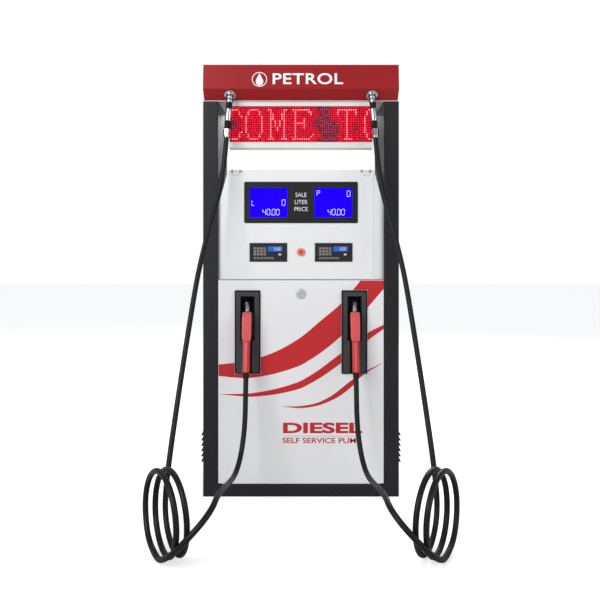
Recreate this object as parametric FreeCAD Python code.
"""Two-nozzle fuel dispenser with a canopy sign, as separate sub-parts.

Frame: X to the right, Y to the back, Z up, millimetres.  The origin is the centre of the
anchor pattern, on the ground.  The front faces -Y.
"""
import FreeCAD, Part
import math
import os

V = FreeCAD.Vector

# ---- driving dimensions ---------------------------------------------------------------
BODY_W = 980.0            # across the two side columns
BODY_D = 500.0            # front skin to rear skin
PLINTH_H = 57.0
COLUMN_W = 75.0
COLUMN_TOP = 1977.0
HEADER_HALF = 484.0
HEADER_TOP = 2152.0
SHEET = 2.5               # sheet-metal thickness
HALF_W = BODY_W / 2
FRONT = -BODY_D / 2
REAR = BODY_D / 2
BAY = HALF_W - COLUMN_W   # half width between the columns

DOOR_BOTTOM = 65.5
DOOR_TOP = 1082.0
DOOR_HALF = BAY - 1.5
FLANGE = 18.0             # depth of a door's folded edge
SHELF_Z = 1083.5
SHELF_T = 3.0

HEAD_TOP = 1633.0
HEAD_SHOULDER = 1458.0    # where the diagonal upper corner starts
HEAD_FRONT = -247.0
COVER_HALF = 361.0
COVER_BOTTOM = 1088.0
COVER_TOP = 1621.0
COVER_T = 2.6
COVER_HINGE = V(0, -254.0, 1627.5)

BEZEL_HALF = 284.0
BEZEL_Z = (1367.5, 1574.0)
LCD_X = (67.0, 257.0)
LCD_Z = (1395.5, 1543.5)
KEYPAD_X = (69.5, 257.0)
KEYPAD_Z = (1174.5, 1268.0)
BUTTON_Z = 1222.5
LOCK_Z = 1014.0

SIGN_HALF = 360.0
SIGN_Z = (1743.0, COLUMN_TOP)
SIGN_Y = (-240.0, -150.0)
WINDOW_Z = (1773.5, 1953.5)

ANCHOR_X = 380.0
ANCHOR_Y = 205.0
ANCHOR_R = 7.0

BOOT_X = 267.0
BOOT_HALF = 60.5
BOOT_Z = (617.5, 1027.5)
BOOT_FRONT = -262.0
BOOT_GAP = 4.0
RECESS_HALF = 33.5        # upper recess, round the nozzle's cover
RECESS_Z = (781.0, 1001.0)
RECESS_BACK = -178.0
POCKET_BACK = -112.0      # deep pocket for the spout
POCKET_Z = 905.0
CHANNEL_HALF = 23.5       # lower channel, round the grip
CHANNEL_BACK = -185.0
WALL = 3.0
FLAP_Y = -184.0
FLAP_Z = 800.0

GRIP_LOW = V(0, -366.0, 640.0)
GRIP_HIGH = V(0, -318.0, 790.0)
BODY_HIGH = V(0, -283.0, 902.0)
SPOUT_ROUTE = [V(0, -283, 902), V(0, -262, 945), V(0, -215, 985), V(0, -138, 985)]
SPOUT_R = 12.0
LEVER_PIVOT = V(0, -262.0, 872.0)
LEVER_HALF = 6.5
LEVER_ROOM = 0.5
# Outline of the lever as (y, z), and the squeeze angles at which the casting is relieved.
LEVER_SIDE = [(-262, 879), (-254, 872), (-226, 790), (-216, 700), (-222, 697), (-236, 760),
              (-246, 800), (-269, 868)]
LEVER_RELIEF = (3.0, 6.0, 9.0, 12.0, 14.5, 16.5)
SWIVEL_L = 27.7
GAP = 0.3                 # clearance between parts that move

HOSE_D = 25.0
OUTLET_X = 352.0
OUTLET_FACE = V(-OUTLET_X, -277.5, 2005.0)
OUTLET_NORMAL = V(0, -50.0, -55.0)
OUTLET_DROP = V(-0.072, -0.100, -1.0)
ELBOW_REACH = 22.0
ELBOW_RUN = 26.0
BREAKAWAY_L = 176.6

COIL_CENTRE = V(-506.0, -962.0, 181.1)
COIL_ALONG = V(-0.887, -0.462, 0)      # the coil's axis, away from the pump
COIL_ACROSS = V(0.462, -0.887, 0)
COIL_R = 168.6
COIL_PITCH = 43.7
COIL_TURNS = 2.25

PUMP_SHAFT = V(-190.0, 0, 200.0)
MOTOR_SHAFT = V(110.0, 0, 160.0)
PUMP_PULLEY_R = 84.0
MOTOR_PULLEY_R = 38.0
BELT_Y = (-91.0, -79.0)
BELT_HALF_T = 4.0
RUNNING_FIT = 0.05

METER_X = 230.0
METER_Y = 60.0
METER_R = 70.0
METER_Z = (490.0, 640.0)
PIPE_R = 14.0
OUTLET_PIPE_Z = 590.0
RISER_X = 452.0
SUCTION = V(-210.0, 30.0, 0)
SUCTION_BORE_R = 22.4
SUCTION_DEPTH = 40.0
CABLE_ENTRY = V(372.0, 163.5, 820.0)
CABLE_ENTRY_R = 12.7

# Free part of the left hose, listed from the outlet down and from the coil to the nozzle.
DROP_ROUTE = [
    (-366.5, -312.5, 1787.1), (-373.2, -321.5, 1701), (-381.7, -335, 1617), (-402.6, -364, 1496),
    (-436, -408, 1360), (-467, -455, 1222), (-490, -505, 1090), (-514, -575, 893),
    (-539, -655, 672), (-560, -735, 465), (-574, -795, 310), (-583.9, -812.5, 190)]
RISE_ROUTE = [
    (-655, -873, 100), (-632, -925, 39), (-580, -1033, 13), (-550, -1086, 28), (-502, -1134.5, 72),
    (-440, -1153, 138), (-384, -1131, 196), (-350, -1078, 236), (-343, -1000, 251),
    (-331, -860, 240), (-321, -700, 210), (-302, -565, 207), (-285, -480, 262),
    (-272, -440, 356), (-267, -418, 450), (-267, -399, 536.9), (-267, -374.54, 613.3)]


# ---- small helpers --------------------------------------------------------------------
def box(x, y, z):
    """A block between pairs of x, y and z."""
    return Part.makeBox(x[1] - x[0], y[1] - y[0], z[1] - z[0], V(x[0], y[0], z[0]))


def rod(start, end, radius):
    """A round bar between two points."""
    return Part.makeCylinder(radius, (end - start).Length, start, end - start)


def tube(start, end, outer, inner):
    """A pipe between two points."""
    return rod(start, end, outer).cut(rod(start, end, inner))


def prism(points, sweep):
    """A polygon through the points, swept along a vector."""
    face = Part.Face(Part.makePolygon(list(points) + [points[0]]))
    return face.extrude(sweep)


def prism_yz(points, x):
    """A side-view outline, from one x to another."""
    return prism([V(x[0], y, z) for y, z in points], V(x[1] - x[0], 0, 0))


def prism_xz(points, y):
    """A front-view outline, from one y to another."""
    return prism([V(a, y[0], b) for a, b in points], V(0, y[1] - y[0], 0))


def prism_xy(points, z):
    """A plan outline, from one z to another."""
    return prism([V(a, b, z[0]) for a, b in points], V(0, 0, z[1] - z[0]))


def both(pair):
    """The same pair on both sides of the middle."""
    return [pair, (-pair[1], -pair[0])]


def spread(half, centre=0.0):
    """A pair half to each side of a centre."""
    return (centre - half, centre + half)


def mirrored(shape):
    """The same piece on the other side of the pump."""
    return shape.mirror(V(0, 0, 0), V(1, 0, 0))


def rounded(shape, radius, wanted):
    """The shape with a radius on the edges that wanted picks."""
    edges = [e for e in shape.Edges if wanted(e)]
    return shape.makeFillet(radius, edges)


def runs_along(edge, axis):
    """True for a straight edge that lies along an axis."""
    if len(edge.Vertexes) != 2:
        return False
    span = edge.Vertexes[1].Point - edge.Vertexes[0].Point
    return span.Length > 0 and abs(span.dot(axis)) > 0.999 * span.Length


def fuse(first, *rest):
    """One solid from overlapping pieces."""
    return first.multiFuse(list(rest)).removeSplitter() if rest else first


def pipe_run(points, radius):
    """A rigid pipe with ball-shaped elbows at its corners."""
    pieces = [rod(a, b, radius) for a, b in zip(points, points[1:])]
    pieces += [Part.makeSphere(radius, p) for p in points[1:-1]]
    return fuse(*pieces)


def arc_path(points, name):
    """Straight runs joined by tangent arcs as large as the runs allow."""
    edges = []
    start = points[0]
    radii = []
    for before, corner, after in zip(points, points[1:], points[2:]):
        back = before - corner
        ahead = after - corner
        trim = 0.45 * min(back.Length, ahead.Length)
        back.normalize()
        ahead.normalize()
        half_turn = (math.pi - back.getAngle(ahead)) / 2
        radius = trim / math.tan(half_turn)
        radii.append(round(radius))
        inward = back + ahead
        inward.normalize()
        middle = corner + inward * (radius / math.cos(half_turn) - radius)
        edges.append(Part.LineSegment(start, corner + back * trim).toShape())
        edges.append(Part.Arc(corner + back * trim, middle, corner + ahead * trim).toShape())
        start = corner + ahead * trim
    edges.append(Part.LineSegment(start, points[-1]).toShape())
    print(name, "arc radii", radii)
    return Part.Wire(edges)


def hose(points, radius, name):
    """A round solid along runs and arcs, checked against section times length."""
    path = arc_path(points, name)
    ring = Part.Wire([Part.Circle(points[0], points[1] - points[0], radius).toShape()])
    solid = path.makePipeShell([ring], True, False)
    expected = math.pi * radius ** 2 * path.Length
    print(name, "length", round(path.Length), "volume ratio", round(solid.Volume / expected, 4))
    return solid


def save(name, *solids):
    """Write one node."""
    shape = solids[0] if len(solids) == 1 else Part.makeCompound(list(solids))
    assert shape.isValid(), name
    shape.exportStep("parts/%s.step" % name)
    print(name, len(shape.Solids), "solid(s)", round(shape.Volume / 1000), "cm3")


os.makedirs("parts", exist_ok=True)
X_AXIS = V(1, 0, 0)
Y_AXIS = V(0, 1, 0)
Z_AXIS = V(0, 0, 1)


# ---- frame and casings ----------------------------------------------------------------
def base_frame():
    """Welded plinth with a floor flange, a top flange and two rails for the pump and motor."""
    floor_t = 6.0
    flange_w = 70.0
    lip_w = 20.0
    rail_y = [(-60.0, -20.0), (110.0, 150.0)]
    outer = box(spread(HALF_W), spread(REAR), (0, PLINTH_H))
    outer = rounded(outer, 3.0, lambda e: runs_along(e, Z_AXIS))
    inner = box(spread(HALF_W - WALL), spread(REAR - WALL), (floor_t, PLINTH_H - WALL))
    hole = box(spread(HALF_W - WALL - flange_w), spread(REAR - WALL - flange_w), (-1, floor_t + 1))
    mouth = box(spread(HALF_W - WALL - lip_w), spread(REAR - WALL - lip_w), (floor_t, PLINTH_H + 1))
    frame = outer.cut(inner).cut(hole).cut(mouth)
    rails = [box(spread(HALF_W - WALL), y, (PLINTH_H - floor_t, PLINTH_H)) for y in rail_y]
    frame = fuse(frame, *rails)
    for x in (-ANCHOR_X, ANCHOR_X):
        for y in (-ANCHOR_Y, ANCHOR_Y):
            frame = frame.cut(rod(V(x, y, -1), V(x, y, floor_t + 1), ANCHOR_R))
    return frame


LOUVRE_COUNT = 6
LOUVRE_FIRST = 166.0
LOUVRE_PITCH = 26.5
LOUVRE_REACH = 14.0
LOUVRE_H = 20.0


def louvre(z, y):
    """A pressed hood on the right column, open below, and the slot behind it."""
    face = HALF_W - 0.1
    hood = prism_xz([(face, z), (HALF_W + LOUVRE_REACH, z), (face, z + LOUVRE_H)], y)
    room = prism_xz([(HALF_W - 4, z - 1), (HALF_W + LOUVRE_REACH - 3, z - 1),
                     (HALF_W - 4, z + LOUVRE_H - 1)], (y[0] + 2, y[1] - 2))
    return hood, room


def side_casing():
    """The right column: a folded tube with two banks of louvres low on its side."""
    casing = box((BAY, HALF_W), spread(REAR), (PLINTH_H, COLUMN_TOP))
    casing = rounded(casing, 4.0, lambda e: runs_along(e, Z_AXIS))
    hollow = box((BAY + SHEET, HALF_W - SHEET), spread(REAR - SHEET), (PLINTH_H, COLUMN_TOP))
    casing = casing.cut(hollow)
    hoods = []
    rooms = []
    for i in range(LOUVRE_COUNT):
        for y in both((60.0, 222.0)):
            hood, room = louvre(LOUVRE_FIRST + i * LOUVRE_PITCH, y)
            hoods.append(hood)
            rooms.append(room)
    casing = fuse(casing, *hoods)
    for room in rooms:
        casing = casing.cut(room)
    way = rod(V(BAY - 1, METER_Y, OUTLET_PIPE_Z), V(BAY + 4, METER_Y, OUTLET_PIPE_Z), PIPE_R + 4)
    return casing.cut(way)


def header_shell():
    """Canopy: slanted fascias front and back, open below, with holes for the hose outlets."""
    outline = [(-250, 1980), (-305, 2030), (-288, HEADER_TOP)]
    inside = [(-246.4, 1980), (-302.3, 2030.8), (-285.8, HEADER_TOP - SHEET)]
    outer = prism_yz(outline + [(-y, z) for y, z in reversed(outline)], spread(HEADER_HALF))
    inner = prism_yz(inside + [(-y, z) for y, z in reversed(inside)], spread(HEADER_HALF - SHEET))
    below = box(spread(HEADER_HALF - SHEET), spread(246.0), (1979.0, 1981.0))
    shell = rounded(outer, 2.0, lambda e: runs_along(e, X_AXIS)).cut(inner).cut(below)
    for side in (-1, 1):
        spot = V(side * OUTLET_X, OUTLET_FACE.y, OUTLET_FACE.z)
        shell = shell.cut(rod(spot - OUTLET_UNIT * 10, spot + OUTLET_UNIT * 10, 17.0))
    return shell


def unit(vector):
    """The same direction, one long."""
    return V(vector).normalize()


OUTLET_UNIT = unit(OUTLET_NORMAL)
DROP_UNIT = unit(OUTLET_DROP)


def header_floor():
    """The panel that closes the canopy, on top of the columns."""
    plate = box(spread(HEADER_HALF), spread(REAR), (COLUMN_TOP, COLUMN_TOP + 3))
    for x in (-RISER_X, RISER_X):
        plate = plate.cut(rod(V(x, METER_Y, COLUMN_TOP - 1), V(x, METER_Y, COLUMN_TOP + 4), 20.0))
    return plate


def sign_housing():
    """The case of the message sign, hung under the canopy, open behind its window."""
    case = box(spread(SIGN_HALF), SIGN_Y, SIGN_Z)
    case = rounded(case, 3.0, lambda e: runs_along(e, X_AXIS))
    inner = box(spread(SIGN_HALF - SHEET), (SIGN_Y[0] + SHEET, SIGN_Y[1] - SHEET),
                (SIGN_Z[0] + SHEET, SIGN_Z[1] - SHEET))
    window = box(spread(SIGN_HALF - SHEET), (SIGN_Y[0] - 1, SIGN_Y[0] + 4), WINDOW_Z)
    return case.cut(inner).cut(window)


def sign_board():
    """The lamp board of the sign."""
    board = box(spread(SIGN_HALF - 4), (SIGN_Y[0] + 11, SIGN_Y[0] + 15),
                (WINDOW_Z[0] - 8, WINDOW_Z[1] + 8))
    posts = []
    for x in (-300.0, 0.0, 300.0):
        for z in (WINDOW_Z[0] + 5, WINDOW_Z[1] - 5):
            posts.append(rod(V(x, SIGN_Y[0] + 15, z), V(x, SIGN_Y[1] - SHEET, z), 5.0))
    return fuse(board, *posts)


def sign_window():
    """The tinted sheet in front of the lamps."""
    return box(spread(SIGN_HALF - SHEET - 0.2), (SIGN_Y[0] + SHEET, SIGN_Y[0] + SHEET + 3),
               (WINDOW_Z[0] - 8, WINDOW_Z[1] + 8))


save("base_frame", base_frame())
CASING = side_casing()
save("right_side_casing", CASING)
save("left_side_casing", mirrored(CASING))
save("header_shell", header_shell())
save("header_floor", header_floor())
save("sign_housing", sign_housing())
save("sign_board", sign_board())
save("sign_window", sign_window())


# ---- display head ---------------------------------------------------------------------
def head_block(inset):
    """The head's outer form, or the same form drawn in by an inset."""
    side = BAY - 0.3 - inset
    wing = HEAD_FRONT + 18.0 + inset
    front = HEAD_FRONT + inset
    face = COVER_HALF - 0.3 * inset
    back = 245.0 - inset
    plan = [(-side, wing), (-face, front), (face, front), (side, wing), (side, back), (-side, back)]
    low = SHELF_Z + SHELF_T + inset
    top = HEAD_TOP - inset
    shoulder = HEAD_SHOULDER - 0.3 * inset
    corner = COVER_HALF + 4.0 - 0.7 * inset
    sight = [(-side, low), (side, low), (side, shoulder), (corner, top), (-corner, top),
             (-side, shoulder)]
    return prism_xy(plan, (low, top)).common(prism_xz(sight, (-300, 300)))


def head_housing():
    """White head shell with a big front opening, a rear opening and a cable hole below."""
    shell = head_block(0).cut(head_block(SHEET))
    shell = shell.cut(box(spread(340.0), (HEAD_FRONT - 1, HEAD_FRONT + 9), (1110.0, 1608.0)))
    shell = shell.cut(box(spread(380.0), (240.0, 250.0), (1125.0, 1600.0)))
    return shell.cut(box((290.0, 380.0), (120.0, 180.0), (SHELF_Z + 1, SHELF_Z + 9)))


def rear_upper_panel():
    """The screwed cover over the head's rear opening."""
    plate = box(spread(395.0), (245.0, 245.0 + SHEET), (1105.0, 1615.0))
    plate = rounded(plate, 6.0, lambda e: runs_along(e, Y_AXIS))
    rib = box(spread(372.0), (245.0 - 8, 245.0), (1132.0, 1592.0))
    rib = rib.cut(box(spread(369.5), (230.0, 246.0), (1134.5, 1589.5)))
    return fuse(plate, rib)


def mid_shelf():
    """Vapour barrier between the pump bay and the display head."""
    plate = box(spread(BAY - 0.3), (-246.0, 246.0), (SHELF_Z, SHELF_Z + SHELF_T))
    return plate.cut(box((300.0, 370.0), (130.0, 170.0), (SHELF_Z - 1, SHELF_Z + 9)))


def display_cover():
    """Top-hinged front of the head, with its knuckles, display cut-out and button collar."""
    back = FRONT + COVER_T
    cover = box(spread(COVER_HALF - 0.5), (FRONT, back), (COVER_BOTTOM, COVER_TOP))
    cover = rounded(cover, 3.0, lambda e: runs_along(e, Y_AXIS))
    rim = box(spread(336.0), (back, -235.0), (1114.0, 1604.0))
    rim = rim.cut(box(spread(334.0), (back - 1, -230.0), (1116.0, 1602.0)))
    pieces = [rim]
    for x in both((KNUCKLE_X[0], KNUCKLE_X[1])):
        pieces.append(rod(V(x[0], COVER_HINGE.y, COVER_HINGE.z),
                          V(x[1], COVER_HINGE.y, COVER_HINGE.z), 6.0))
        pieces.append(box(x, (COVER_HINGE.y - 1.5, FRONT + 1.5), (COVER_TOP - 14, COVER_HINGE.z)))
    pieces.append(rod(V(0, FRONT - 3, BUTTON_Z), V(0, FRONT + 1, BUTTON_Z), 22.0))
    cover = fuse(cover, *pieces)
    for x in both((KNUCKLE_X[0] - 1, KNUCKLE_X[1] + 1)):
        cover = cover.cut(rod(V(x[0], COVER_HINGE.y, COVER_HINGE.z),
                              V(x[1], COVER_HINGE.y, COVER_HINGE.z), 3.0 + RUNNING_FIT))
    cover = cover.cut(box(spread(270.0), (FRONT - 1, back + 1), (1380.0, 1560.0)))
    cover = cover.cut(rod(V(0, FRONT - 4, BUTTON_Z), V(0, FRONT, BUTTON_Z), 18.5))
    return cover.cut(rod(V(0, FRONT - 4, BUTTON_Z), V(0, back + 1, BUTTON_Z), 8.5))


KNUCKLE_X = (308.0, 340.0)


def hinge_pins():
    """Two hinge pins, each held at both ends by an ear on the head's top edge."""
    pins = []
    for x in both(KNUCKLE_X):
        pin = rod(V(x[0] - 9, COVER_HINGE.y, COVER_HINGE.z),
                  V(x[1] + 9, COVER_HINGE.y, COVER_HINGE.z), 3.0)
        pieces = [pin]
        for ear in ((x[0] - 8, x[0] - 1), (x[1] + 1, x[1] + 8)):
            pieces.append(rod(V(ear[0], COVER_HINGE.y, COVER_HINGE.z),
                              V(ear[1], COVER_HINGE.y, COVER_HINGE.z), 6.0))
            pieces.append(box(ear, (COVER_HINGE.y, HEAD_FRONT), (COVER_HINGE.z - 4, HEAD_TOP - 1)))
        pins.append(fuse(*pieces))
    return pins


def display_bezel():
    """Black surround of the two counters."""
    plate = box(spread(BEZEL_HALF), (FRONT - 3, FRONT), BEZEL_Z)
    plate = rounded(plate, 8.0, lambda e: runs_along(e, Y_AXIS))
    for x in both(LCD_X):
        plate = plate.cut(box(x, (FRONT - 4, FRONT + 1), LCD_Z))
    return plate


def display_window():
    """Clear sheet behind the bezel, in the cover's cut-out."""
    return box(spread(269.5), (FRONT, FRONT + 3), (1380.5, 1559.5))


def lcd_modules():
    """The two counters' liquid-crystal modules."""
    modules = []
    for x in both((LCD_X[0] - 5, LCD_X[1] + 5)):
        glass = box(x, (FRONT + 3, FRONT + 11), (LCD_Z[0] - 5, LCD_Z[1] + 5))
        board = box((x[0] + 4, x[1] - 4), (FRONT + 11, FRONT + 22), (LCD_Z[0], LCD_Z[1]))
        modules.append(fuse(glass, board))
    return modules


def keypads():
    """Two sealed keypads: a frame with a small display and raised membrane keys."""
    pads = []
    for x in both(KEYPAD_X):
        frame = box(x, (FRONT - 4, FRONT), KEYPAD_Z)
        frame = rounded(frame, 5.0, lambda e: runs_along(e, Y_AXIS))
        keys = []
        for row in range(4):
            for column in range(4):
                left = x[0] + 12 + column * 25
                low = KEYPAD_Z[1] - 27 - row * 20
                keys.append(box((left, left + 20), (FRONT - 5, FRONT - 4), (low, low + 15)))
        for column in range(3):
            left = x[0] + 114 + column * 21
            keys.append(box((left, left + 17), (FRONT - 5, FRONT - 4),
                            (KEYPAD_Z[0] + 6.5, KEYPAD_Z[0] + 21.5)))
        pads.append(fuse(frame, *keys))
    return pads


def stop_button():
    """Push button: a cap in the cover's collar, on a stem."""
    cap = rod(V(0, FRONT - 12, BUTTON_Z), V(0, FRONT - 5, BUTTON_Z), 17.5)
    cap = rounded(cap, 2.5, lambda e: abs(e.CenterOfMass.y - (FRONT - 12)) < 0.1)
    return fuse(cap, rod(V(0, FRONT - 5.5, BUTTON_Z), V(0, FRONT + 20, BUTTON_Z), 8.0))


save("head_housing", head_housing())
save("rear_upper_panel", rear_upper_panel())
save("mid_shelf", mid_shelf())
save("display_cover", display_cover())
save("cover_hinge_pins", *hinge_pins())
save("display_bezel", display_bezel())
save("display_window", display_window())
save("lcd_modules", *lcd_modules())
save("keypads", *keypads())
save("stop_button", stop_button())


# ---- lower doors and their locks ------------------------------------------------------
def door_pan():
    """A folded door: a skin with a flange round its four edges, facing -Y."""
    pan = box(spread(DOOR_HALF), (FRONT, FRONT + FLANGE), (DOOR_BOTTOM, DOOR_TOP))
    pan = rounded(pan, 2.0, lambda e: abs(e.CenterOfMass.y - FRONT) < 0.1)
    return pan.cut(box(spread(DOOR_HALF - SHEET), (FRONT + SHEET, FRONT + FLANGE + 1),
                       (DOOR_BOTTOM + SHEET, DOOR_TOP - SHEET)))


def lock_hole():
    """The hole for a lock barrel."""
    return rod(V(0, FRONT - 1, LOCK_Z), V(0, FRONT + 5, LOCK_Z), 14.0 + GAP)


def front_panel():
    """Front lower panel, cut out round the two nozzle boots."""
    pan = door_pan().cut(lock_hole())
    for side in (-1, 1):
        pan = pan.cut(box(spread(BOOT_HALF + BOOT_GAP, side * BOOT_X), (FRONT - 1, FRONT + 5),
                          (BOOT_Z[0] - BOOT_GAP, BOOT_Z[1] + BOOT_GAP)))
    return pan


def rear_door():
    """Rear service door with vent slots."""
    pan = door_pan().cut(lock_hole())
    for i in range(8):
        z = 180.0 + i * 22.0
        pan = pan.cut(box(spread(150.0), (FRONT - 1, FRONT + 5), (z, z + 7)))
    return pan.mirror(V(0, 0, 0), V(0, 1, 0))


def lock():
    """Cam lock: escutcheon, barrel and a cam that hangs down when open, facing -Y."""
    plate = rod(V(0, FRONT - GAP - 4, LOCK_Z), V(0, FRONT - GAP, LOCK_Z), 24.0)
    plate = rounded(plate, 1.2, lambda e: abs(e.CenterOfMass.y - (FRONT - GAP - 4)) < 0.1)
    barrel = rod(V(0, FRONT - GAP - 1, LOCK_Z), V(0, FRONT + 26, LOCK_Z), 14.0)
    cam = box((-7, 7), (FRONT + 22, FRONT + 25), (LOCK_Z - 48, LOCK_Z))
    keyway = box((-1.2, 1.2), (FRONT - 9, FRONT + 4), (LOCK_Z - 5, LOCK_Z + 5))
    return fuse(plate, barrel, cam).cut(keyway)


save("front_panel", front_panel())
save("rear_door", rear_door())
save("front_lock", lock())
save("rear_lock", lock().mirror(V(0, 0, 0), V(0, 1, 0)))


# ---- nozzle boots ---------------------------------------------------------------------
def boot():
    """Nozzle boot at x = 0: bezel, stepped recess, spout pocket, flap ears and bracket."""
    bezel = box(spread(BOOT_HALF), (BOOT_FRONT, FRONT), BOOT_Z)
    bezel = rounded(bezel, 9.0, lambda e: runs_along(e, Y_AXIS))
    bezel = rounded(bezel, 2.0, lambda e: abs(e.CenterOfMass.y - BOOT_FRONT) < 0.1)
    shell = [
        box(spread(RECESS_HALF + WALL), (FRONT - 1, RECESS_BACK + WALL),
            (RECESS_Z[0] - WALL, RECESS_Z[1] + WALL)),
        box(spread(RECESS_HALF + WALL), (RECESS_BACK, POCKET_BACK + WALL),
            (POCKET_Z - WALL, RECESS_Z[1] + WALL)),
        box(spread(CHANNEL_HALF + WALL), (FRONT - 1, CHANNEL_BACK + WALL),
            (BOOT_Z[0], RECESS_Z[0])),
        box(spread(30.0), (-150.0, -147.0), (RECESS_Z[1], SHELF_Z)),
        box(spread(30.0), (-150.0, -120.0), (SHELF_Z - WALL, SHELF_Z))]
    room = [
        box(spread(RECESS_HALF), (BOOT_FRONT - 1, RECESS_BACK), RECESS_Z),
        box(spread(RECESS_HALF), (RECESS_BACK - 1, POCKET_BACK), (POCKET_Z, RECESS_Z[1])),
        box(spread(CHANNEL_HALF), (BOOT_FRONT - 1, CHANNEL_BACK), (BOOT_Z[0] - 1, RECESS_Z[0] + 1))]
    body = fuse(bezel, *shell)
    for space in room:
        body = body.cut(space)
    for x in both((17.0, 33.6)):
        body = fuse(body, box(x, (FLAP_Y - 7, RECESS_BACK + 1), (FLAP_Z - 7, FLAP_Z + 7)))
    return body.cut(rod(V(-22, FLAP_Y, FLAP_Z), V(22, FLAP_Y, FLAP_Z), 3.0 + RUNNING_FIT))


def boot_flap():
    """The switch flap that the stowed nozzle holds back, on its own pin."""
    barrel = rod(V(-16.5, FLAP_Y, FLAP_Z), V(16.5, FLAP_Y, FLAP_Z), 4.5)
    pin = rod(V(-21.5, FLAP_Y, FLAP_Z), V(21.5, FLAP_Y, FLAP_Z), 3.0)
    plate = box(spread(15.0), (FLAP_Y + 0.5, FLAP_Y + 3.5), (FLAP_Z, FLAP_Z + 92))
    plate = rounded(plate, 6.0, lambda e: runs_along(e, Y_AXIS)
                    and e.CenterOfMass.z > FLAP_Z + 50)
    return fuse(barrel, pin, plate)


BOOT = boot()
FLAP = boot_flap()
for side, name in ((-1, "left"), (1, "right")):
    save(name + "_boot", BOOT.translated(V(side * BOOT_X, 0, 0)))
    save(name + "_boot_flap", FLAP.translated(V(side * BOOT_X, 0, 0)))


# ---- nozzles --------------------------------------------------------------------------
GRIP_UNIT = unit(GRIP_HIGH - GRIP_LOW)


def nozzle_core():
    """The metal inside of the nozzle, from the hose end to the spout's root."""
    return [rod(GRIP_LOW, GRIP_HIGH, 13.0), Part.makeSphere(17.5, GRIP_HIGH),
            rod(GRIP_HIGH, BODY_HIGH, 17.5)]


def nozzle_body():
    """Nozzle casting with its hand guard and lever lugs, at x = 0."""
    guard_route = [V(0, -354, 660), V(0, -260, 652), V(0, -204, 700), V(0, -196, 800),
                   V(0, -206, 870), V(0, -268, 893)]
    bars = []
    for a, b in zip(guard_route, guard_route[1:]):
        along = unit(b - a)
        across = V(0, -along.z, along.y) * 2.5
        corners = [a - across, b - across, b + across, a + across]
        bars.append(prism([c - V(8, 0, 0) for c in corners], V(16, 0, 0)))
        bars.append(rod(b - V(8, 0, 0), b + V(8, 0, 0), 2.5))
    lugs = []
    for x in both((7.5, 11.0)):
        lugs.append(prism_yz([(-285, 866), (-262, 863), (-254, 872), (-262, 881), (-280, 892)], x))
    cap = rod(V(0, -290, 842), V(0, -268, 836), 11.0)
    body = fuse(*(nozzle_core() + bars + lugs + [cap]))
    for angle in LEVER_RELIEF:
        swept = prism_yz(LEVER_SIDE, spread(LEVER_HALF + LEVER_ROOM))
        swept.rotate(LEVER_PIVOT, V(-1, 0, 0), angle)
        body = body.cut(swept)
    body = max(body.Solids, key=lambda s: s.Volume)
    return body.cut(rod(LEVER_PIVOT - V(12, 0, 0), LEVER_PIVOT + V(12, 0, 0), 3.0 + RUNNING_FIT))


def nozzle_cover():
    """Red moulded cover: a wide hood over the body and a narrower grip, at x = 0."""
    hood = prism_yz([(-346, 782), (-322, 902), (-306, 926), (-288, 928), (-272, 914),
                     (-292, 842), (-309, 782)], spread(25.0))
    hood = rounded(hood, 7.0, lambda e: e.CenterOfMass.y < -300 and abs(e.CenterOfMass.x) > 1)
    grip = prism_yz([(-386, 643), (-343, 790), (-303, 790), (-345, 641)], spread(18.0))
    grip = rounded(grip, 7.0, lambda e: abs(e.CenterOfMass.x) > 1 and e.Length > 100)
    cover = fuse(hood, grip)
    for piece in nozzle_core():
        cover = cover.cut(piece)
    cover = cover.cut(rod(BODY_HIGH, BODY_HIGH + unit(SPOUT_ROUTE[1] - SPOUT_ROUTE[0]) * 60, 17.5))
    cover = cover.cut(NOZZLE_BODY)
    cover = cover.cut(rod(GRIP_LOW - GRIP_UNIT * 40, GRIP_LOW, 15.5))
    return max(cover.Solids, key=lambda s: s.Volume)


def spout():
    """Curved spout tube with its root collar, at x = 0."""
    path = arc_path(SPOUT_ROUTE, "spout")
    start = SPOUT_ROUTE[0]
    heading = SPOUT_ROUTE[1] - start
    outer = path.makePipeShell([Part.Wire([Part.Circle(start, heading, SPOUT_R).toShape()])],
                               True, False)
    bore_start = V(0, -190, SPOUT_ROUTE[2].z)
    collar = rod(start, start + unit(heading) * 16, 16.0)
    mouth = rod(bore_start, SPOUT_ROUTE[-1] + V(0, 5, 0), SPOUT_R - 2)
    return fuse(outer, collar).cut(mouth)


def lever():
    """Trigger lever with its pivot pin, at x = 0."""
    bar = prism_yz(LEVER_SIDE, spread(LEVER_HALF))
    pin = rod(LEVER_PIVOT - V(11, 0, 0), LEVER_PIVOT + V(11, 0, 0), 3.0)
    return fuse(bar, pin)


def nozzle_swivel():
    """Swivel between nozzle and hose: a collar with a hexagon, at x = 0."""
    top = GRIP_LOW - GRIP_UNIT * GAP
    bottom = top - GRIP_UNIT * SWIVEL_L
    sleeve = rod(top, bottom, 14.5)
    hexagon = Part.Wire(Part.makePolygon(
        [bottom + GRIP_UNIT * 8 + (X_AXIS * math.cos(a) + X_AXIS.cross(GRIP_UNIT) * math.sin(a))
         * 18.0 for a in [math.radians(60 * k) for k in range(7)]]))
    return fuse(sleeve, Part.Face(hexagon).extrude(GRIP_UNIT * 12))


SPOUT = spout()
NOZZLE_BODY = nozzle_body().cut(SPOUT)
NOZZLE = {"nozzle_body": NOZZLE_BODY, "nozzle_cover": nozzle_cover(), "spout": SPOUT,
          "lever": lever(), "nozzle_swivel": nozzle_swivel()}
for side, name in ((-1, "left"), (1, "right")):
    for piece, solid in NOZZLE.items():
        save("%s_%s" % (name, piece), solid.translated(V(side * BOOT_X, 0, 0)))


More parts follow.
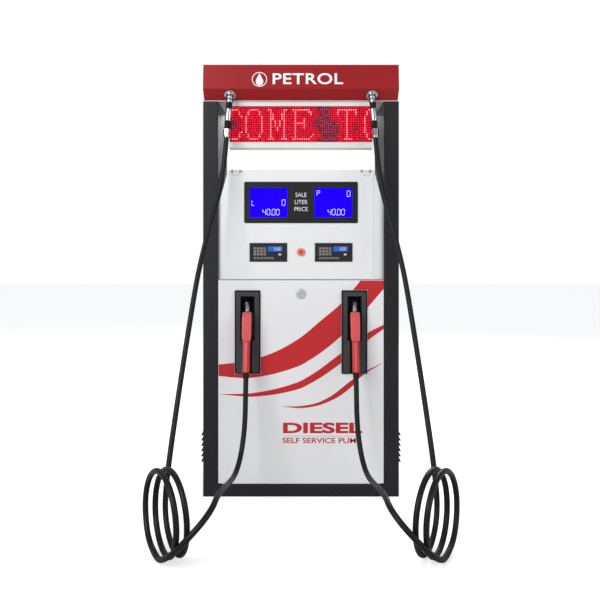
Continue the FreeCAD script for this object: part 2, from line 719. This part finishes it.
# ---- hose outlets and hoses -----------------------------------------------------------
ELBOW = OUTLET_FACE + OUTLET_UNIT * ELBOW_REACH
ELBOW_END = ELBOW + DROP_UNIT * ELBOW_RUN


def outlet_elbow():
    """Left outlet: a flange on the canopy's slant, a stub inside it and a ball elbow."""
    flange = rod(OUTLET_FACE, OUTLET_FACE + OUTLET_UNIT * 8, 30.0)
    flange = rounded(flange, 2.0, lambda e: (e.CenterOfMass - OUTLET_FACE).Length > 5
                     and len(e.Vertexes) == 1)
    stub = rod(OUTLET_FACE - OUTLET_UNIT * 30, ELBOW, 16.0)
    return fuse(flange, stub, Part.makeSphere(17.5, ELBOW), rod(ELBOW, ELBOW_END, 17.5))


def breakaway():
    """Left breakaway swivel: two seal rings, a barrel and a hexagon end for the hose."""
    start = ELBOW_END + DROP_UNIT * GAP

    def length_of(a, b, radius):
        return rod(start + DROP_UNIT * a, start + DROP_UNIT * b, radius)

    side = unit(DROP_UNIT.cross(Y_AXIS))
    other = DROP_UNIT.cross(side)
    centre = start + DROP_UNIT * 134
    corners = [centre + (side * math.cos(a) + other * math.sin(a)) * 19.5
               for a in [math.radians(60 * k) for k in range(7)]]
    hexagon = Part.Face(Part.makePolygon(corners)).extrude(DROP_UNIT * 34)
    pieces = [length_of(0, 32, 15.5), length_of(30, 94, 17.0), length_of(92, 134, 15.5), hexagon,
              length_of(132, BREAKAWAY_L, 15.0)]
    return fuse(*pieces)


def coil():
    """The outer form of the left hose's standing coil: one ring as wide as its turns."""
    along = unit(COIL_ALONG)
    start = COIL_CENTRE - along * (HOSE_D / 2)
    end = COIL_CENTRE + along * (COIL_PITCH * COIL_TURNS + HOSE_D / 2)
    return tube(start, end, COIL_R + HOSE_D / 2, COIL_R - HOSE_D / 2)


HOSE_PIECES = {"outlet_elbow": outlet_elbow(), "breakaway": breakaway(), "hose_coil": coil(),
               "hose_drop": hose([V(*p) for p in DROP_ROUTE], HOSE_D / 2, "hose_drop"),
               "hose_rise": hose([V(*p) for p in RISE_ROUTE], HOSE_D / 2, "hose_rise")}
for piece, solid in HOSE_PIECES.items():
    save("left_" + piece, solid)
    save("right_" + piece, mirrored(solid))


# ---- pump, motor and drive ------------------------------------------------------------
def pump_unit():
    """Pump casting with its feet, air separator bowl, bypass cap and shaft boss."""
    block = box((-320, -100), (-40, 130), (63, 300))
    block = rounded(block, 10.0, lambda e: runs_along(e, Z_AXIS))
    feet = [box((-330, -90), y, (PLINTH_H, 66)) for y in ((-55, -25), (115, 145))]
    bowl = rod(V(-260, 60, 295), V(-260, 60, 360), 42.0)
    cap = rod(V(-175, -5, 295), V(-175, -5, 326), 22.0)
    boss = rod(V(PUMP_SHAFT.x, -62, PUMP_SHAFT.z), V(PUMP_SHAFT.x, -38, PUMP_SHAFT.z), 26.0)
    strainer = rod(V(-318, 60, 130), V(-345, 60, 130), 40.0)
    unit_solid = fuse(block, *feet, bowl, cap, boss, strainer)
    bore = rod(V(PUMP_SHAFT.x, -63, PUMP_SHAFT.z), V(PUMP_SHAFT.x, -20, PUMP_SHAFT.z),
               10.0 + RUNNING_FIT)
    return unit_solid.cut(bore)


def motor():
    """Electric motor with ribs, feet, terminal box and front boss."""
    x = MOTOR_SHAFT.x
    z = MOTOR_SHAFT.z
    can = rod(V(x, -10, z), V(x, 200, z), 68.0)
    ribs = [rod(V(x, y, z), V(x, y + 6, z), 75.0) for y in range(0, 190, 20)]
    fan = rod(V(x, 198, z), V(x, 228, z), 72.0)
    boss = rod(V(x, -34, z), V(x, -8, z), 28.0)
    foot = box((x - 70, x + 70), (-10, 180), (PLINTH_H, 66))
    web = box((x - 45, x + 45), (0, 180), (60, 110))
    terminals = box((x - 38, x + 38), (60, 140), (z + 60, z + 108))
    solid = fuse(can, *ribs, fan, boss, foot, web, terminals)
    return solid.cut(rod(V(x, -35, z), V(x, 10, z), 8.0 + RUNNING_FIT))


def pulley(centre, pitch_r, shaft_r, shaft_back):
    """A belt pulley with its shaft, on an axis along Y."""
    low = BELT_Y[0]
    high = BELT_Y[1]

    def disc(y, radius):
        return rod(V(centre.x, y[0], centre.z), V(centre.x, y[1], centre.z), radius)

    groove = pitch_r - BELT_HALF_T - GAP
    return fuse(disc((low - 1, high + 1), groove), disc((low - 6, low - 1), pitch_r + 5),
                disc((high + 1, high + 6), pitch_r + 5), disc((low - 10, shaft_back), shaft_r))


def belt_loop(extra):
    """The space inside a loop round both pulleys, at a distance from their pitch circles."""
    y0 = BELT_Y[0]
    depth = BELT_Y[1] - BELT_Y[0]
    r1 = PUMP_PULLEY_R + extra
    r2 = MOTOR_PULLEY_R + extra
    span = MOTOR_SHAFT - PUMP_SHAFT
    direction = math.atan2(span.z, span.x)
    offset = math.acos((r1 - r2) / span.Length)
    corners = []
    for centre, radius, angle in ((PUMP_SHAFT, r1, direction + offset),
                                  (MOTOR_SHAFT, r2, direction + offset),
                                  (MOTOR_SHAFT, r2, direction - offset),
                                  (PUMP_SHAFT, r1, direction - offset)):
        corners.append((centre.x + radius * math.cos(angle), centre.z + radius * math.sin(angle)))
    flat = prism_xz(corners, (y0, y0 + depth))
    ends = [Part.makeCylinder(r, depth, V(c.x, y0, c.z), Y_AXIS)
            for c, r in ((PUMP_SHAFT, r1), (MOTOR_SHAFT, r2))]
    return fuse(flat, *ends)


save("pump_unit", pump_unit())
save("motor", motor())
save("pump_pulley", pulley(PUMP_SHAFT, PUMP_PULLEY_R, 10.0, -22))
save("motor_pulley", pulley(MOTOR_SHAFT, MOTOR_PULLEY_R, 8.0, 8))
save("drive_belt", belt_loop(BELT_HALF_T).cut(belt_loop(-BELT_HALF_T)))


# ---- meters, valves and pipes ---------------------------------------------------------
def meter():
    """Right meter: piston-meter casting with covers, ports, a bracket and a pulser seat."""
    centre = V(METER_X, METER_Y, 0)

    def barrel(z0, z1, radius):
        return rod(centre + Z_AXIS * z0, centre + Z_AXIS * z1, radius)

    port = rod(V(METER_X, METER_Y, OUTLET_PIPE_Z), V(METER_X + METER_R + 8, METER_Y, OUTLET_PIPE_Z),
               22.0)
    bracket = box((METER_X, BAY), spread(30.0, METER_Y), (METER_Z[0] + 14, METER_Z[0] + 24))
    solid = fuse(barrel(METER_Z[0] + 10, METER_Z[1] - 10, METER_R), barrel(METER_Z[0], METER_Z[0] + 12,
                 METER_R + 9), barrel(METER_Z[1] - 12, METER_Z[1], METER_R + 9), port, bracket,
                 barrel(METER_Z[1] - 1, METER_Z[1] + 26, 30.0))
    return solid.cut(barrel(METER_Z[1] + 2, METER_Z[1] + 27, 4.0 + RUNNING_FIT))


def pulser_disc():
    """Right meter's slotted pulse disc on its shaft."""
    centre = V(METER_X, METER_Y, METER_Z[1] + 29)
    disc = rod(centre, centre + Z_AXIS * 2.5, 29.0)
    for k in range(12):
        angle = math.radians(30 * k)
        spot = centre + V(math.cos(angle), math.sin(angle), 0) * 22
        disc = disc.cut(rod(spot - Z_AXIS, spot + Z_AXIS * 4, 3.0))
    return fuse(disc, rod(centre - Z_AXIS * 24, centre + Z_AXIS * 6, 4.0))


def solenoid_valve():
    """Right flow valve: a body in the outlet pipe with its coil on top."""
    body = box((352.0, 388.0), spread(21.0, METER_Y), spread(21.0, OUTLET_PIPE_Z))
    stem = rod(V(370, METER_Y, OUTLET_PIPE_Z + 20), V(370, METER_Y, OUTLET_PIPE_Z + 34), 9.0)
    winding = rod(V(370, METER_Y, OUTLET_PIPE_Z + 32), V(370, METER_Y, OUTLET_PIPE_Z + 78), 19.0)
    return fuse(rounded(body, 4.0, lambda e: runs_along(e, X_AXIS)), stem, winding)


def riser():
    """Right delivery pipe: from the valve into the column, up it and along to the outlet."""
    stub_end = OUTLET_FACE - OUTLET_UNIT * 30
    turn = OUTLET_FACE - OUTLET_UNIT * 75
    route = [V(388, METER_Y, OUTLET_PIPE_Z), V(RISER_X, METER_Y, OUTLET_PIPE_Z),
             V(RISER_X, METER_Y, 2085), V(RISER_X, -120, 2085),
             V(OUTLET_X, turn.y, turn.z), V(OUTLET_X, stub_end.y, stub_end.z)]
    return pipe_run(route, PIPE_R)


def pipework():
    """Suction pipe, pump manifold, the two short meter pipes and the two risers."""
    top = V(SUCTION.x, SUCTION.y, 63)
    suction = rod(SUCTION, top, 33.0).cut(rod(SUCTION - Z_AXIS, SUCTION + Z_AXIS * SUCTION_DEPTH,
                                              SUCTION_BORE_R))
    suction = suction.cut(rod(SUCTION, top, 17.0))
    manifold_z = 430.0
    manifold = fuse(
        rod(V(-130, METER_Y, 300), V(-130, METER_Y, manifold_z), PIPE_R),
        pipe_run([V(-METER_X, METER_Y, METER_Z[0]), V(-METER_X, METER_Y, manifold_z),
                  V(METER_X, METER_Y, manifold_z), V(METER_X, METER_Y, METER_Z[0])], PIPE_R))
    link = rod(V(METER_X + METER_R + 8, METER_Y, OUTLET_PIPE_Z), V(352, METER_Y, OUTLET_PIPE_Z),
               PIPE_R)
    rise = riser()
    return [suction, manifold, link, mirrored(link), rise, mirrored(rise)]


METER = meter()
DISC = pulser_disc()
VALVE = solenoid_valve()
save("right_meter", METER)
save("left_meter", mirrored(METER))
save("right_pulser_disc", DISC)
save("left_pulser_disc", mirrored(DISC))
save("solenoid_valves", VALVE, mirrored(VALVE))
save("pipework", *pipework())


# ---- electrics ------------------------------------------------------------------------
def control_box():
    """Computer case in the display head, on two feet, with four cable glands below."""
    case = box(spread(200.0), (70.0, 200.0), (1160.0, 1460.0))
    case = rounded(case, 6.0, lambda e: runs_along(e, Z_AXIS))
    room = box(spread(200.0 - SHEET), (70.0 + SHEET, 200.0 - SHEET),
               (1160.0 + SHEET, 1460.0 - SHEET))
    feet = [box(x, (90.0, 180.0), (SHELF_Z + SHELF_T + SHEET, 1161.0)) for x in both((150, 180))]
    gland_x = (-90, -30, 30, 90)
    glands = [rod(V(x, 135, 1130), V(x, 135, 1161), 11.0) for x in gland_x]
    body = fuse(case.cut(room), *feet, *glands)
    for x in gland_x:
        body = body.cut(rod(V(x, 135, 1129), V(x, 135, 1164), 7.0))
    return body


def junction_box():
    """Flameproof junction box on the right column, with a cable entry in its floor."""
    case = box((330.0, BAY), (100.0, 200.0), (820.0, 940.0))
    room = box((338.0, BAY - 8), (108.0, 192.0), (828.0, 932.0))
    case = rounded(case, 8.0, lambda e: runs_along(e, Z_AXIS) and e.CenterOfMass.x < 340)
    lid = box((324.0, 331.0), (108.0, 192.0), (830.0, 930.0))
    entry = rod(CABLE_ENTRY - Z_AXIS, CABLE_ENTRY + Z_AXIS * 9, CABLE_ENTRY_R)
    return fuse(case.cut(room), lid).cut(entry)


save("control_box", control_box())
save("junction_box", junction_box())
